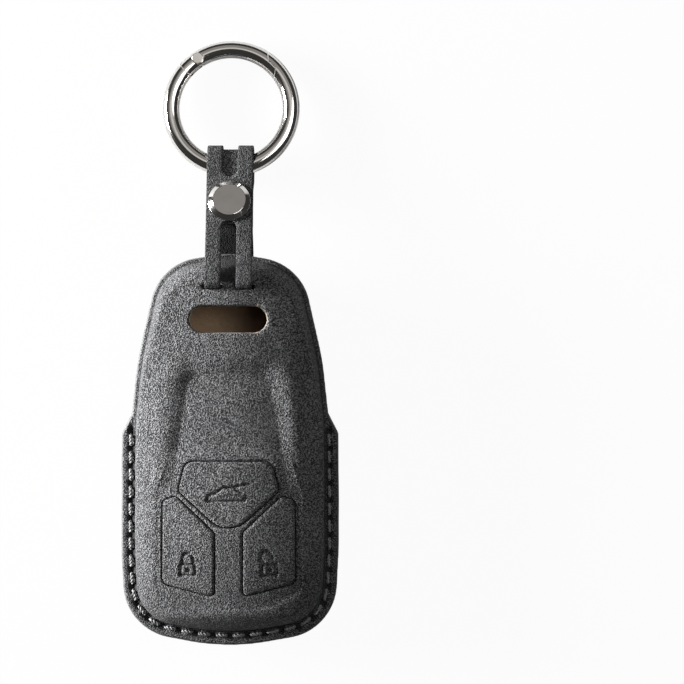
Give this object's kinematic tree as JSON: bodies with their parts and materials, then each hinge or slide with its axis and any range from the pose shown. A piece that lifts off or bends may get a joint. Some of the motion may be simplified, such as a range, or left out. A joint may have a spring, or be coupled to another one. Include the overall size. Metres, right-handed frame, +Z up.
{
  "type": "key fob cover",
  "caption": "Padded suede cover for a car key fob, lying on its back, with press pads, a window, a stitched rim and a riveted strap that carries a spring-gate ring.",
  "frame": {"origin": "middle of the underside of the whole object's box, on the table that it lies on", "axes": "+X to the right of the cover, +Y from the stitched end to the ring, +Z up from the back face to the front face"},
  "size_m": [0.0488, 0.1364, 0.0195],
  "materials": {
    "suede": "dark grey brushed suede",
    "lining": "brown smooth lining",
    "thread": "light grey twisted thread",
    "nickel": "polished dark nickel plate",
    "steel": "plain steel"
  },
  "bodies": {
    "case": {"front_panel": "suede", "front_lining": "lining", "back_panel": "suede", "back_lining": "lining", "stitches_front": "thread", "stitches_back": "thread", "strap_loop": "suede"},
    "flap": {"back_flap": "suede", "back_flap_lining": "lining"},
    "boot_button": {"boot_pad": "suede"},
    "lock_button": {"lock_pad": "suede"},
    "unlock_button": {"unlock_pad": "suede"},
    "strap_part": {"strap": "suede", "rivet_cap": "nickel", "rivet_base": "nickel"},
    "ring": {"ring_body": "nickel"},
    "gate": {"ring_gate": "nickel", "gate_pin": "nickel", "gate_spring": "steel"},
    "plunger": {"gate_plunger": "steel"}
  },
  "joints": [
    {"name": "mouth_flex", "type": "hinge", "parent": "case", "child": "flap", "pos_m": [0, -0.01835, 0], "axis": [-1, 0, 0], "range_deg": [0, 22], "stiffness_Nm_per_rad": 0.03},
    {"name": "boot_press", "type": "slide", "parent": "case", "child": "boot_button", "axis": [0, 0, -1], "range_m": [0, 0.0008], "stiffness_N_per_m": 1500},
    {"name": "lock_press", "type": "slide", "parent": "case", "child": "lock_button", "axis": [0, 0, -1], "range_m": [0, 0.0008], "stiffness_N_per_m": 1500},
    {"name": "unlock_press", "type": "slide", "parent": "case", "child": "unlock_button", "axis": [0, 0, -1], "range_m": [0, 0.0008], "stiffness_N_per_m": 1500},
    {"name": "strap_swing", "type": "hinge", "parent": "case", "child": "strap_part", "pos_m": [0, 0.0215, 0.01239], "axis": [1, 0, 0], "range_deg": [-15, 60], "stiffness_Nm_per_rad": 0.004, "deforming": ["strap_loop"]},
    {"name": "ring_swing", "type": "hinge", "parent": "strap_part", "child": "ring", "pos_m": [0, 0.03977, 0.00458], "axis": [1, 0, 0], "range_deg": [-80, 110]},
    {"name": "gate_open", "type": "hinge", "parent": "ring", "child": "gate", "pos_m": [-0.0076, 0.06391, 0.00217], "axis": [0, -0.0994, -0.9951], "range_deg": [0, 30], "stiffness_Nm_per_rad": 0.03, "springref_deg": -17.19},
    {"name": "plunger_slide", "type": "slide", "parent": "gate", "child": "plunger", "axis": [0.91, 0.4126, -0.0412], "range_m": [0, 0.00046], "deforming": ["gate_spring"]}
  ],
  "couplings": [
    {"joint": "plunger_slide", "follows": "gate_open", "m_per_rad": 0.00085944}
  ]
}
